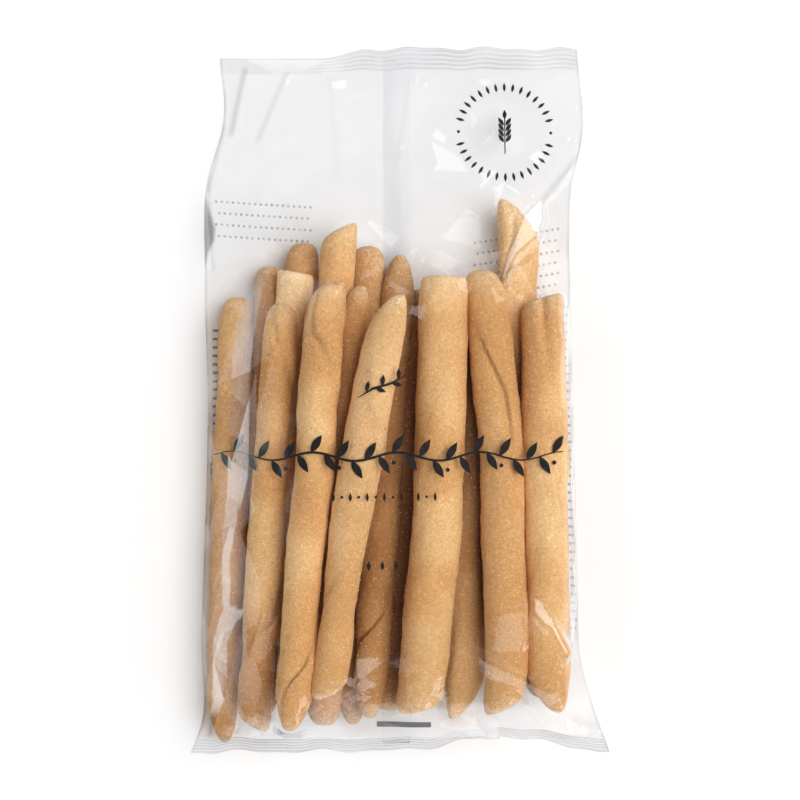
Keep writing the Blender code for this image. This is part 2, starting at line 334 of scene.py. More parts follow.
def press_seams(mesh, length, seams):
    """Raise the flap, sink the groove, and keep where the seam's dark line of painted shade runs."""
    points = points_of(mesh) / MM
    along = np.clip(points[:, 2] / length, 0, 1)
    radius = np.hypot(points[:, 0], points[:, 1])
    angle = np.degrees(np.arctan2(points[:, 0], -points[:, 1]))
    swell = np.zeros(len(points))
    line = np.zeros(len(points))
    for seam in seams:
        at, turn, flap, groove, dark = np.array(seam, float).T
        inside = np.clip(np.minimum(along - at[0], at[-1] - along) * 12, 0, 1)
        inside = np.where((at[0] == 0) & (along < 0.5) | (at[-1] == 1) & (along > 0.5), 1, inside)
        off = (angle - np.interp(along, at, turn) + 180) % 360 - 180
        off = np.radians(off) * radius
        edge = 0.5 + 0.5 * np.tanh(off / np.interp(np.interp(along, at, dark), (0.3, 0.9),
                                                   (SOFT_EDGE, SHARP_EDGE)))
        raised = edge * np.exp(-np.maximum(off, 0) / FLAP_LENGTH)
        dipped = (1 - edge) * np.exp(np.minimum(off, 0) / DIP_LENGTH)
        height = SEAM_DEPTH * np.interp(along, at, flap) * (0.55 * raised - 0.6 * dipped)
        height -= np.interp(along, at, groove) * np.exp(-(off / GROOVE_WIDTH) ** 2)
        swell += height * inside
        # the seam's dark line: painted shade in its groove
        line = np.maximum(line, inside * np.interp(along, at, dark)
                          * np.exp(-(off / SEAM_SHADE_WIDTH) ** 2))
    factor = 1 + np.where(radius > 0.4, swell / np.maximum(radius, 1.5), 0)
    points[:, 0] *= factor
    points[:, 1] *= factor
    set_points(mesh, points * MM)
    store(mesh, "seam", line)


SWAY = 0.35


def bend_rope(mesh, length, bow, lean, slant, toast_side):
    """Bow the rope, lean and slant its tips, and keep where it is toasted or floury."""
    points = points_of(mesh) / MM
    along = np.clip(points[:, 2] / length, 0, 1)
    direction = np.arctan2(points[:, 1], points[:, 0])
    store(mesh, "toast", 0.5 + 0.5 * np.cos(direction - toast_side))
    store(mesh, "tip", np.clip(1 - np.minimum(along, 1 - along) * length / 9, 0, 1))
    belly = np.sin(math.pi * along)
    across = points[:, 0].copy()
    for end, (shift, tilt) in enumerate(zip(lean, slant)):
        near = np.clip(1 - np.abs(along - end) * length / 14, 0, 1) ** 2
        points[:, 0] += shift * near
        points[:, 2] += tilt * across * near
    points[:, 0] += (bow + wander(6, SWAY)(along)) * belly
    points[:, 1] += wander(6, SWAY)(along) * belly
    set_points(mesh, points * MM)


# %% Lay a stick in its place
def apply_all(obj):
    """Apply the modifiers and the placing of one object."""
    bpy.ops.object.select_all(action="DESELECT")
    obj.select_set(True)
    bpy.context.view_layer.objects.active = obj
    for modifier in list(obj.modifiers):
        bpy.ops.object.modifier_apply(modifier=modifier.name)
    bpy.ops.object.transform_apply(location=True, rotation=True, scale=True)


def lay(obj, foot, head):
    """Turn an upright stick so that it runs from foot to head, its local -Y facing up."""
    along = (Vector(head) - Vector(foot)).normalized()
    side = (Vector((1, 0, 0)) - along * along.x).normalized()
    down = along.cross(side)
    turn = Matrix((side, down, along)).transposed()
    obj.matrix_world = Matrix.Translation(Vector(foot) * MM) @ turn.to_4x4()


def cloud(name, size):
    texture = bpy.data.textures.new(name, "CLOUDS")
    texture.noise_scale = size * MM
    texture.noise_depth = 2
    return texture


LUMPS = cloud("lumps", 9.0)
SKIN = cloud("skin", 1.3)


def roughen(obj, texture, height):
    displace = obj.modifiers.new(texture.name, "DISPLACE")
    displace.texture = texture
    displace.texture_coords = "LOCAL"
    displace.strength = height * MM
    displace.mid_level = 0.5


# %% [markdown]
# Each stick differs in its tips: some are round or blunt, others were cut off or pinched
# between two fingers, which leaves them leaning to one side. The front ones follow the real
# ones one by one; they are also subdivided once more.

# %% Roll them all
# foot tip, head tip, lean of foot and head (mm), slant of foot and head, turns, in front?
CHARACTER = {
    "left": ("pinched", "round", (1.2, 0.5), (0.2, 0), 0.7, True),
    "under_left": ("round", "round", (0, 0), (0, 0), 0.8, False),
    "back_left": ("round", "round", (0, 0.5), (0, 0), 0.9, False),
    "back_middle": ("pinched", "round", (0.5, 0), (0, 0), 1.0, False),
    "behind_leaning": ("pinched", "pinched", (0.5, -0.5), (0, 0), 0.9, True),
    "under_thick": ("round", "round", (0, 0), (0, 0), 0.8, False),
    "behind_gap": ("pinched", "round", (-2.5, 0), (0.5, 0), 0.7, False),
    "tallest": ("round", "pinched", (0, -4.0), (0, -0.3), 1.5, True),
    "under_right": ("round", "round", (0, 0), (0, 0), 0.8, False),
    "second": ("blunt", "round", (0.5, 0.6), (-0.45, -0.1), 1.1, True),
    "broken": ("cut", "cut", (0, 0), (0.2, -0.15), 0.3, False),
    "tall_left": ("round", "blunt", (0, 0.8), (0, 0.55), 0.9, True),
    "dark_middle": ("round", "pinched", (0, 1.5), (0, 0), 1.0, False),
    "thick": ("blunt", "square", (-0.4, 0.2), (0.25, 0.08), 0.6, True),
    "creased": ("blunt", "round", (-1.2, -0.6), (0.35, 0), 0.75, True),
    "right": ("pinched", "blunt", (1.8, 0.4), (-0.3, 0.3), 0.8, True),
    "third": ("pinched", "round", (-0.6, 1.0), (0, 0.2), 1.2, True),
    "leaning": ("round", "pinched", (-0.8, 1.8), (0.5, 0.2), 1.0, True),
}


# how much paler (above 0) or browner (below 0) than the rest each stick is: (share of the
# length from the foot, tone). Small values are how the stick was baked. Values of about -0.5 and
# below, on the sticks deep in the heap and on the hidden part of tallest, are painted shade; the
# pale head of broken is painted light, as it lies in shadow.
TONE_AND_PAINTED_LIGHT = {
    "left": [(0, -0.2)],
    "under_left": [(0.8, -0.95), (0.95, -0.3)],
    "back_left": [(0.75, -1.0), (0.92, -0.2)],
    "back_middle": [(0.06, -0.7), (0.15, -0.9), (0.75, -0.8), (0.92, -0.25)],
    "behind_leaning": [(0, -0.5), (0.7, -0.6), (0.95, -0.4)],
    "under_thick": [(0.04, -0.6), (0.12, -1.0)],
    "behind_gap": [(0.15, -0.15), (0.35, -0.35), (0.6, -0.8)],
    "tallest": [(0.55, -0.9), (0.75, 0.55)],
    "under_right": [(0, -1.0)],
    "second": [(0, -0.35), (0.3, -0.05), (0.85, -0.05), (1, 0.3)],
    "broken": [(0.8, -0.2), (0.88, 1.3)],
    "tall_left": [(0.7, -0.8), (0.88, 0.0)],
    "dark_middle": [(0.06, -0.6), (0.15, -0.8), (0.8, -0.5), (0.92, 0.0)],
    "thick": [(0, -0.3), (0.3, -0.05), (1, 0.2)],
    "creased": [(0, -0.15), (0.4, 0.0), (1, 0.1)],
    "right": [(0, 0.15)],
    "third": [(0, -0.2), (0.3, 0.0), (1, 0.15)],
    "leaning": [(0, -0.05), (0.2, 0.1), (0.45, 0.6), (0.6, 1.0), (1, 1.0)],
}


# share of the length from the foot, and share of the full thickness there
THICKNESS = {
    "left": [(0, 0.8), (0.15, 0.86), (0.25, 0.9), (0.45, 1.0), (0.7, 1.0), (1, 0.92)],
    "second": [(0, 0.9), (0.08, 0.92), (0.16, 0.94), (0.24, 0.96), (0.3, 1.05), (0.38, 1.0),
               (0.5, 0.96), (0.66, 0.93), (0.8, 0.97), (0.9, 0.92), (1, 0.9)],
    "third": [(0, 0.9), (0.09, 1.0), (0.17, 0.95), (0.24, 0.88), (0.31, 0.93), (0.38, 0.9),
              (0.5, 0.96), (0.62, 1.0), (0.75, 1.0), (0.84, 0.95), (0.92, 1.0), (1, 0.95)],
    "leaning": [(0, 0.85), (0.08, 0.82), (0.12, 0.84), (0.17, 0.82), (0.215, 0.75), (0.28, 0.83),
                (0.36, 0.88), (0.5, 0.95), (0.62, 1.0), (0.75, 0.97), (0.86, 0.95), (1, 0.9)],
    "thick": [(0, 0.88), (0.2, 0.98), (0.36, 1.03), (0.6, 1.0), (0.8, 0.96), (0.93, 0.95), (1, 0.95)],
    "creased": [(0, 0.9), (0.15, 1.0), (0.35, 1.02), (0.6, 0.94), (0.75, 0.98), (0.85, 1.04),
                (0.93, 0.96), (1, 0.9)],
}


def roll_stick(name, foot, head, diameter, bow):
    foot_tip, head_tip, lean, slant, turns, in_front = CHARACTER[name]
    length = (Vector(head) - Vector(foot)).length
    places = stations(length, foot_tip, head_tip)
    uneven = 1 + wander(11, 0.035)(places / length)
    if name in THICKNESS:
        uneven = np.interp(places / length, *np.array(THICKNESS[name]).T)
    sizes = diameter / 2 * widening(places, foot_tip) * widening(length - places, head_tip) * uneven
    stick = extrude_rope(places, sizes, turns * 2 * math.pi / length)
    stick.name = "stick_" + name
    rounding = stick.modifiers.new("rounding", "SUBSURF")
    rounding.levels = 3 if in_front else 2
    roughen(stick, LUMPS, 0.9)
    roughen(stick, SKIN, 0.2)
    apply_all(stick)
    along = points_of(stick.data)[:, 2] / MM / length
    # baked tone, with painted shade on the sticks deep in the heap and painted light on broken's head
    store(stick.data, "tone_and_painted_light", 0.5 + np.interp(along, *np.array(TONE_AND_PAINTED_LIGHT[name]).T) / 2)
    press_seams(stick.data, length, SEAMS[name])
    bend_rope(stick.data, length, bow, lean, slant, dice.uniform(0, 2 * math.pi))
    lay(stick, foot, head)
    bpy.ops.object.transform_apply(location=True, rotation=True, scale=True)
    bpy.ops.object.shade_smooth()
    return stick


sticks = {name: roll_stick(name, *row) for name, row in STICKS.items()}
faces = sum(len(stick.data.polygons) for stick in sticks.values())
print(f"{len(sticks)} sticks, {2 * faces} triangles")

# %% [markdown]
# ## Semolina
#
# The dough is rolled in semolina, so thousands of tiny hard grains stick to it. Each is an
# octahedron with uneven corners, half sunk into the crust: eight faces are enough, as a grain
# is a third of a millimetre wide. Some grains and crumbs fell off and lie along the seal.

# %% Grains on the sticks
GRAINS = 24000
GRAIN_SIZE = (0.08, 0.22)
CORNERS = np.array([(1, 0, 0), (-1, 0, 0), (0, 1, 0), (0, -1, 0), (0, 0, 1), (0, 0, -1)], float)
SIDES = np.array([(0, 2, 4), (2, 1, 4), (1, 3, 4), (3, 0, 4),
                  (2, 0, 5), (1, 2, 5), (3, 1, 5), (0, 3, 5)])


def make_grains(name, places, sizes):
    """One mesh of many uneven octahedra."""
    count = len(places)
    spin = dice.uniform(0, math.pi, (count, 1))
    corners = CORNERS * dice.uniform(0.6, 1.2, (count, 6, 1)) * np.reshape(sizes, (-1, 1, 1))
    x = corners[..., 0] * np.cos(spin) - corners[..., 1] * np.sin(spin)
    z = corners[..., 0] * np.sin(spin) + corners[..., 1] * np.cos(spin)
    corners = np.stack([x, corners[..., 2], z], -1) + places[:, None]
    faces = SIDES + 6 * np.arange(count)[:, None, None]
    mesh = bpy.data.meshes.new(name)
    mesh.from_pydata((corners.reshape(-1, 3) * MM).tolist(), [], faces.reshape(-1, 3).tolist())
    grains = bpy.data.objects.new(name, mesh)
    bpy.context.collection.objects.link(grains)
    return grains


def spots_on(obj, count):
    """Random places on a mesh, evenly spread over its area."""
    mesh = obj.data
    area = np.empty(len(mesh.polygons))
    centre = np.empty(len(mesh.polygons) * 3)
    mesh.polygons.foreach_get("area", area)
    mesh.polygons.foreach_get("center", centre)
    chosen = dice.choice(len(area), count, p=area / area.sum())
    return centre.reshape(-1, 3)[chosen] / MM


share = GRAINS // len(sticks)
spots = np.concatenate([spots_on(stick, share) for stick in sticks.values()])
semolina = make_grains("semolina", spots, dice.uniform(*GRAIN_SIZE, len(spots)))
print(f"{len(spots)} grains, {len(semolina.data.polygons)} triangles")

# %% [markdown]
# ## The film
#
# Film hangs over a heap like a soap film over wires: where it touches nothing, each point lies
# at the mean height of its neighbours. So the film starts as a flat sheet with the outline of
# the bag, and every point is moved again and again to that mean, but never into a stick. The
# front is drawn over the heap from above and the back from below, and both meet at the rim.
# It is solved on a coarse sheet first and then on a fine one, because a fine sheet alone would
# need many more rounds.

# %% Sizes of the bag
BAG_LENGTH = 192.0
TOP_SEAL_WIDTH = 6.0
BOTTOM_SEAL_WIDTH = 4.6
SEAL_RIBS = 5
RIB_HEIGHT = 0.32
TOP_SEAL_HEIGHT = 5.0
BOTTOM_SEAL_HEIGHT = 13.0
TOP_SEAL_DROP = 0.6
TOP_FOLD_DROP = 2.6
BOTTOM_SEAL_DROP = 6.0
SIDE_HEIGHT = 9.5
TABLE_GAP = 0.3
FILM_GAP = 0.12
FILM_MARGIN = 0.3
LEFT_SIDE = [(-96, -57), (-90, -54.4), (-66, -53.9), (0, -52.2), (35, -53.0),
             (59, -52.6), (76, -48.2), (96, -49.4)]
RIGHT_SIDE = [(-96, 57), (-84, 52.6), (-70, 49.0), (-50, 48.3), (0, 47.0), (25, 46.3),
              (45, 46.0), (59, 46.8), (70, 49.4), (96, 48.4)]
TOP_EDGE_LEFT = 93.6
TOP_EDGE_RIGHT = 96.0
TOP_STEP_AT = -15.0
TOP_STEP_LENGTH = 9.0
BOTTOM_BOW = 4.2
BOTTOM_BOW_AT = 27.0
BOTTOM_BOW_LENGTH = 17.0
EDGE_CROWDING = 0.4
TOP_SEAL_LINE = BAG_LENGTH / 2 - TOP_SEAL_WIDTH
BOTTOM_SEAL_LINE = BOTTOM_SEAL_WIDTH - BAG_LENGTH / 2
SHEET_STOPS = [-78, -48, 20, 58]

# %% Outline
def through(y, points):
    """A smooth curve through (y, value) points."""
    at, value = np.array(points, float).T
    slope = np.gradient(value, at)
    k = np.clip(np.searchsorted(at, y, side="right") - 1, 0, len(at) - 2)
    span = at[k + 1] - at[k]
    t = np.clip((y - at[k]) / span, 0, 1)
    rise = t * t * (3 - 2 * t)
    return (value[k] * (1 - rise) + value[k + 1] * rise
            + span * t * (1 - t) * (slope[k] * (1 - t) - slope[k + 1] * t))


def unfolded(x):
    """0 where the top seal is folded over, 1 where it lies open."""
    return 1 / (1 + np.exp(-(x - TOP_STEP_AT) / (TOP_STEP_LENGTH / 4)))


def top_edge(x):
    ripple = 0.35 * np.sin(x / 3.1) + 0.25 * np.sin(x / 1.7 + 1)
    return TOP_EDGE_LEFT + (TOP_EDGE_RIGHT - TOP_EDGE_LEFT + ripple) * unfolded(x)


def bottom_edge(x):
    ripple = 0.4 * np.sin(x / 3.3 + 2) + 0.25 * np.sin(x / 1.9)
    bow = BOTTOM_BOW * np.exp(-((x - BOTTOM_BOW_AT) / BOTTOM_BOW_LENGTH) ** 2)
    return -BAG_LENGTH / 2 + bow + (ripple + 0.4) * (np.abs(x) < 52)


# %% Plan of a sheet
def sheet_rows(rib_rows, counts):
    """y of every row: dense over the ribs of the seals and over the tips of the sticks."""
    outer = BAG_LENGTH / 2
    ribs = rib_rows * SEAL_RIBS
    bottom = np.linspace(-outer, BOTTOM_SEAL_LINE, ribs, endpoint=False)
    top = np.linspace(outer, TOP_SEAL_LINE, ribs, endpoint=False)[::-1]
    stops = [BOTTOM_SEAL_LINE, *SHEET_STOPS, TOP_SEAL_LINE]
    middle = [np.linspace(start, end, count, endpoint=False)
              for start, end, count in zip(stops, stops[1:], counts)]
    return np.concatenate([bottom, *middle, [TOP_SEAL_LINE], top])


def sheet_plan(rows, columns):
    """x and y of the sheet's points, columns first."""
    u = np.linspace(-1, 1, columns)
    spread = (1 - EDGE_CROWDING) * u + EDGE_CROWDING * np.sin(u * math.pi / 2)
    left = through(rows, LEFT_SIDE)
    right = through(rows, RIGHT_SIDE)
    x = left + (right - left) * (spread[:, None] + 1) / 2
    near_top = np.clip((rows - 70) / 26, 0, 1) ** 3
    near_bottom = np.clip((-80 - rows) / 16, 0, 1)
    y = (rows + (top_edge(x) - BAG_LENGTH / 2) * near_top
         + (bottom_edge(x) + BAG_LENGTH / 2) * near_bottom)
    return x, y


def into_seals(rows):
    """0 at the inner edge of the top and bottom seals, 1 at their outer edge."""
    into_top = np.clip((rows - TOP_SEAL_LINE) / TOP_SEAL_WIDTH, 0, 1)
    into_bottom = np.clip((BOTTOM_SEAL_LINE - rows) / BOTTOM_SEAL_WIDTH, 0, 1)
    return into_top, into_bottom


def rim_height(x, rows):
    """Height of the line where front and back meet: sides and seals, with their ribs."""
    side = np.interp(rows, [BOTTOM_SEAL_LINE, -78, 20, TOP_SEAL_LINE],
                     [BOTTOM_SEAL_HEIGHT, SIDE_HEIGHT, SIDE_HEIGHT, TOP_SEAL_HEIGHT])
    into_top, into_bottom = into_seals(rows)
    into_seal = np.maximum(into_top, into_bottom)
    ribs = RIB_HEIGHT * np.cos(into_seal * SEAL_RIBS * 2 * math.pi) * (into_seal > 0)
    ribs = ribs * np.where(into_top > 0, unfolded(x), 1)
    wave = 0.7 * np.sin(x / 9) + 0.4 * np.sin(x / 4.3 + 1)
    drop = (into_top * (TOP_SEAL_DROP + TOP_FOLD_DROP * (1 - unfolded(x)))
            + into_bottom * BOTTOM_SEAL_DROP)
    return side + ribs + wave * into_seal - drop


# %% What the film lies on
def all_faces(objects):
    """One net of all the sticks, to measure against."""
    points, faces = [], []
    for obj in objects:
        first = sum(len(block) for block in points)
        points.append(points_of(obj.data) / MM)
        faces += [[first + v for v in polygon.vertices] for polygon in obj.data.polygons]
    return BVHTree.FromPolygons(np.concatenate(points).tolist(), faces)


heap_net = all_faces(sticks.values())


def widest(values, pick):
    """Each point takes the highest or lowest value of itself and its neighbours."""
    padded = np.pad(values, 1, mode="edge")
    shifted = [padded[i:i + values.shape[0], j:j + values.shape[1]]
               for i in range(3) for j in range(3)]
    return pick(shifted, axis=0)


def heap_over(x, y):
    """Upper and lower limit of the sticks, with the film's margin, at each point."""
    limits = []
    for start, way, none, pick in ((60.0, -1, -np.inf, np.max), (-5.0, 1, np.inf, np.min)):
        rays = [heap_net.ray_cast((px, py, start), (0, 0, way))[0]
                for px, py in zip(x.ravel(), y.ravel())]
        hits = np.array([hit.z if hit else none for hit in rays]).reshape(x.shape)
        limits.append(widest(hits, pick) - way * FILM_MARGIN)
    return limits


# %% Draw the film tight
def drape(x, y, start, free, low, high, rounds):
    """Move the free points to the mean of their neighbours, between two limits."""
    across = 1 / np.diff(x, axis=0) ** 2
    along = 1 / np.diff(y, axis=1) ** 2
    weight = across[:-1, 1:-1] + across[1:, 1:-1] + along[1:-1, :-1] + along[1:-1, 1:]
    z = np.where(free, np.clip(start, low, high), start)
    for _ in range(rounds):
        mean = (across[:-1, 1:-1] * z[:-2, 1:-1] + across[1:, 1:-1] * z[2:, 1:-1]
                + along[1:-1, :-1] * z[1:-1, :-2] + along[1:-1, 1:] * z[1:-1, 2:]) / weight
        mean = np.clip(mean, low[1:-1, 1:-1], high[1:-1, 1:-1])
        z[1:-1, 1:-1] = np.where(free[1:-1, 1:-1], mean, z[1:-1, 1:-1])
    return z


def refine(values, old_rows, new_rows, columns):
    """The same sheet with more rows and columns."""
    old_u = np.linspace(0, 1, len(values))
    new_u = np.linspace(0, 1, columns)
    wide = np.array([np.interp(new_u, old_u, line) for line in values.T]).T
    return np.array([np.interp(new_rows, old_rows, line) for line in wide])


def draw_film(rows, columns, start, rounds):
    x, y = sheet_plan(rows, columns)
    rim = rim_height(x, rows)
    upper, lower = heap_over(x, y)
    free = np.zeros(x.shape, bool)
    free[1:-1] = (rows > BOTTOM_SEAL_LINE) & (rows < TOP_SEAL_LINE)
    front_start = rim if start is None else np.where(free, start[0], rim)
    back_start = rim if start is None else np.where(free, start[1], rim)
    sky_high = np.full(x.shape, np.inf)
    ground = np.zeros(x.shape)
    front = drape(x, y, front_start, free, upper, sky_high, rounds)
    back = drape(x, y, back_start, free, ground, np.maximum(lower, 0), rounds)
    return x, y, front, back


COARSE = sheet_rows(2, [8, 4, 8, 11, 7])
FINE = sheet_rows(8, [28, 36, 34, 46, 32])
COARSE_COLUMNS = 40
FINE_COLUMNS = 186
_, _, coarse_front, coarse_back = draw_film(COARSE, COARSE_COLUMNS, None, 900)
start = [refine(sheet, COARSE, FINE, FINE_COLUMNS) for sheet in (coarse_front, coarse_back)]
film_x, film_y, film_front, film_back = draw_film(FINE, FINE_COLUMNS, start, 250)
print(f"the film rises to {film_front.max():.1f} mm")

# %% [markdown]
# ### Facets and creases
#
# Packing film is stiff: it doesn't hang in soft waves but breaks into flat facets with sharp
# edges between them. Random heights on a net of triangles give just that. The longer folds,
# which start at a stick's tip or at a seal, are laid in one by one as low tents.

# %% Facets
FACET_WIDTH = 13.0
FACET_LENGTH = 21.0


def facets(x, y, height, seed):
    """Random heights at scattered points, joined by flat triangles."""
    roller = np.random.default_rng(seed)
    lattice = [(u, v) for u in np.arange(-70, 71, FACET_WIDTH)
               for v in np.arange(-115, 116, FACET_LENGTH)]
    spots = np.array(lattice) + roller.uniform(-0.5, 0.5, (len(lattice), 2)) * (
        FACET_WIDTH, FACET_LENGTH)
    corners, _, triangles, *_ = delaunay_2d_cdt([Vector(s) for s in spots], [], [], 0, 1e-6)
    heights = roller.uniform(0, height, len(corners))
    net = BVHTree.FromPolygons([(*c, h) for c, h in zip(corners, heights)], triangles)
    down = Vector((0, 0, -1))
    top = height + 1
    hits = [net.ray_cast(Vector((px, py, top)), down)[0] for px, py in zip(x.ravel(), y.ravel())]
    return np.array([hit.z if hit else 0 for hit in hits]).reshape(x.shape)


# %% Creases
# each runs from (x, y) to (x, y), with the slope of its left and of its right side (seen along
# it), its height at both ends, and how much painted shade greys its edge
CREASES = [
    (-42.4, 90.0, -45.9, 72.9, 1.0, 0.30, 0.9, 0.5, 0.3),
    (-31.0, 89.0, -38.4, 71.0, 0.36, 0.7, 0.9, 0.4, 0.15),
    (-52.3, 60.0, -50.6, 36.0, 1.4, 0.5, 1.4, 0.9, 0.2),
    (-48.3, 74.0, -52.4, 57.0, 0.8, 0.5, 1.0, 1.0, 0.25),
    (-19.0, 88.0, -17.0, 60.0, 0.12, 0.16, 0.5, 0.3, 0.05),
    (3.0, 89.0, -1.0, 62.0, 0.3, 0.14, 0.6, 0.3, 0.06),
    (49.4, 67.5, 38.5, 54.0, 0.5, 0.36, 1.8, 1.2, 0.25),
    (29.5, 37.0, 36.5, 26.0, 0.7, 0.5, 0.8, 0.5, 0.0),
    (29.0, 37.5, 26.5, 31.0, 0.6, 0.5, 0.7, 0.3, 0.0),
]
END_SLOPE = 1.2
CREASE_SHADE_WIDTH = 0.75


def creases(x, y):
    """Low tents with a sharp ridge and flat sides, and the painted shade that greys their edges."""
    total = np.zeros(x.shape)
    edge = np.zeros(x.shape)
    for x0, y0, x1, y1, left, right, start, end, grey in CREASES:
        run = np.array([x1 - x0, y1 - y0])
        length = np.hypot(*run)
        t = ((x - x0) * run[0] + (y - y0) * run[1]) / length ** 2
        off_line = ((x - x0) * run[1] - (y - y0) * run[0]) / length
        fall = np.where(off_line > 0, off_line * right, -off_line * left)
        beyond = np.maximum(np.maximum(-t, t - 1), 0) * length
        ridge = start + (end - start) * np.clip(t, 0, 1)
        total += np.maximum(ridge - fall - END_SLOPE * beyond, 0)
        edge += grey * np.exp(-(off_line / CREASE_SHADE_WIDTH) ** 2 - beyond ** 2)
    return total, edge


# %% The slope above the bottom seal
# under the lowest tips the film is stretched flat, from the seal up to this line of (x, y)
SLOPE_TOP = [(-42, -90.2), (-36, -88), (-31.4, -84.8), (-23.9, -82.4), (-14.6, -77.1),
             (-12.5, -73.0), (-5.3, -78.2), (0, -79.5), (8.5, -79.8), (21.3, -79.8), (27, -89.5)]


def bottom_slope(x, y, film):
    """Height of the ruled surface between the seal and the line, 0 elsewhere."""
    flat = np.zeros(x.shape)
    for i in range(len(x)):
        inside = (y[i] > BOTTOM_SEAL_LINE) & (y[i] < -60)
        ends = np.interp(x[i], *np.array(SLOPE_TOP).T, left=-999, right=-999)
        if ends.min() < BOTTOM_SEAL_LINE + 0.5:
            continue
        end = ends[inside].mean()
        level = np.interp(end, y[i], film[i])
        share = (y[i] - BOTTOM_SEAL_LINE) / (end - BOTTOM_SEAL_LINE)
        ruled = BOTTOM_SEAL_HEIGHT + share * (level - BOTTOM_SEAL_HEIGHT)
        flat[i] = np.where((share > 0) & (share < 1), ruled, 0)
    return flat


# %% Panes
# corners of flat panes of film, the compass direction each one faces, its slope in degrees and
# its shine
PANES = [
    ([(33.5, 49.3), (38.1, 53.9), (38.4, 48.5), (36.2, 42.6), (30.0, 38.1), (28.7, 37.0),
      (29.0, 39.2)], 74, 27.5, 2.4),
    ([(29.0, 38.4), (30.3, 38.0), (27.8, 32.0), (26.8, 32.0)], 74, 27.5, 2.4),
    ([(35.7, -52.4), (40.0, -57.7), (38.4, -59.8), (35.5, -56.6)], 47, 23.6, 2.0),
    ([(38.7, -58.6), (40.0, -57.9), (44.9, -66.7), (43.9, -68.0)], 47, 23.6, 2.0),
    ([(21.2, -67.6), (40.4, -78.2), (39.9, -80.8), (23.3, -72.0)], -93.6, 33.5, 1.3),
    ([(25.6, -56.2), (32.5, -55.0), (33.0, -63.4), (31.2, -66.8), (24.6, -66.0)], -71.5, 13.7, 1.4),
]
PANE_SKIRT = 1.2
PANE_EDGE = 0.4


def set_panes(x, y, film):
    """Put a flat pane inside each polygon, just above the film; also give their shine."""
    pane_shine = np.zeros(x.shape)
    for corners, facing, tilt, shine in PANES:
        corners = np.array(corners)
        centre = corners.mean(0)
        inside = np.full(x.shape, np.inf)
        for (x0, y0), (x1, y1) in zip(corners, np.roll(corners, -1, 0)):
            length = math.hypot(x1 - x0, y1 - y0)
            off = ((x - x0) * (y1 - y0) - (y - y0) * (x1 - x0)) / length
            way = (centre[0] - x0) * (y1 - y0) - (centre[1] - y0) * (x1 - x0)
            inside = np.minimum(inside, off * np.sign(way))
        inside += PANE_EDGE
        turn = math.radians(facing)
        fall = math.tan(math.radians(tilt)) * (x * math.cos(turn) + y * math.sin(turn))
        level = (film + fall)[inside > 0].max()
        skirt = np.clip(1 + inside / PANE_SKIRT, 0, 1)
        film = film + (level - fall - film) * skirt
        pane_shine = np.maximum(pane_shine, shine * (inside > 0))
    return film, pane_shine


# %% Give the film its facets
def near_rim(x, y, rows, reach):
    """0 at the rim, 1 from a few millimetres inside it."""
    inside = np.minimum(x - x[:1], x[-1:] - x)
    ends = np.minimum(rows - BOTTOM_SEAL_LINE, TOP_SEAL_LINE - rows)
    return np.clip(np.minimum(inside, ends) / reach, 0, 1)


away_from_rim = near_rim(film_x, film_y, FINE, 5.5)
empty_part = np.clip((film_y - 30) / 20, 0, 1)
roof = cad_box[1][2] / MM - 0.05
front_relief = facets(film_x, film_y, 1.0, 5) * (0.45 + 0.9 * empty_part) * away_from_rim
tents, crease_painted_shade = creases(film_x, film_y)
front_relief += tents * near_rim(film_x, film_y, FINE, 1.2)
back_relief = facets(film_x, film_y, 1.4, 8) * empty_part
slope = bottom_slope(film_x, film_y, film_front)
sloped = slope > film_front
front = np.maximum(film_front, slope) + front_relief
front, pane_shine = set_panes(film_x, film_y, front)
front = np.minimum(front, roof)
back = np.maximum(film_back + back_relief * away_from_rim, TABLE_GAP)
middle = (front + back) / 2
front = np.maximum(front, middle + FILM_GAP / 2)
back = np.minimum(back, middle - FILM_GAP / 2)
print(f"the finished film is {front.max() - back.min():.1f} mm thick")

# %% [markdown]
# The film itself starts as a grid, which is extruded once into a flat closed pouch. Its two
# faces then take the heights found above. The pouch is one closed surface, as the real one is,
# and the crimped seals are the parts where front and back lie on each other.

# %% The pouch
SEAL_SHINE = 1.35
FIN_SHINE = 0.2


# a fold where the film lies double, down the left side: y, and x of its left and right edge
FOLD = [(35.6, -36.2, -35.9), (26.2, -41.9, -37.4), (20.0, -43.7, -38.5), (12.4, -45.0, -39.5),
        (5.7, -45.3, -40.3), (-21.6, -46.2, -40.6), (-30.0, -47.0, -43.4), (-43.0, -48.0, -45.6),
        (-55.0, -47.6, -45.4), (-56.5, -47.4, -41.2), (-59.0, -48.6, -43.6), (-65.0, -50.4, -46.4),
        (-78.0, -50.6, -46.4), (-90.5, -51.6, -51.0)]
FOLD_SHINE = 3.8
SLOPE_SHINE = 1.4


# the same for a fold that lies in the left side, and how much painted shade greys the film in a
# crease
SIDE_FOLD = [(58.0, -54.0, -53.0), (52.0, -54.0, -51.5), (46.4, -54.0, -49.7), (43.2, -54.0, -50.0),
             (40.0, -54.0, -51.6), (35.0, -54.0, -52.7)]
SIDE_FOLD_SHADE = 0.85
RIB_SHADE = 0.4


# the strip along the right side where the back is folded up, greyed with painted shade
STRIP = [(28, 45.0, 49), (-64, 45.4, 51)]
STRIP_SHADE = 0.3
RIM_SHADE = 0.6
RIM_STEPS = 2.5


def in_band(x, y, band, soft=0.01):
    """1 inside a band, falling to 0 at its edges over a soft width."""
    at, left, right = np.array(band[::-1]).T
    inside = np.minimum(x - np.interp(y, at, left), np.interp(y, at, right) - x)
    return np.clip(inside / soft, 0, 1) * (y > at[0]) * (y < at[-1])


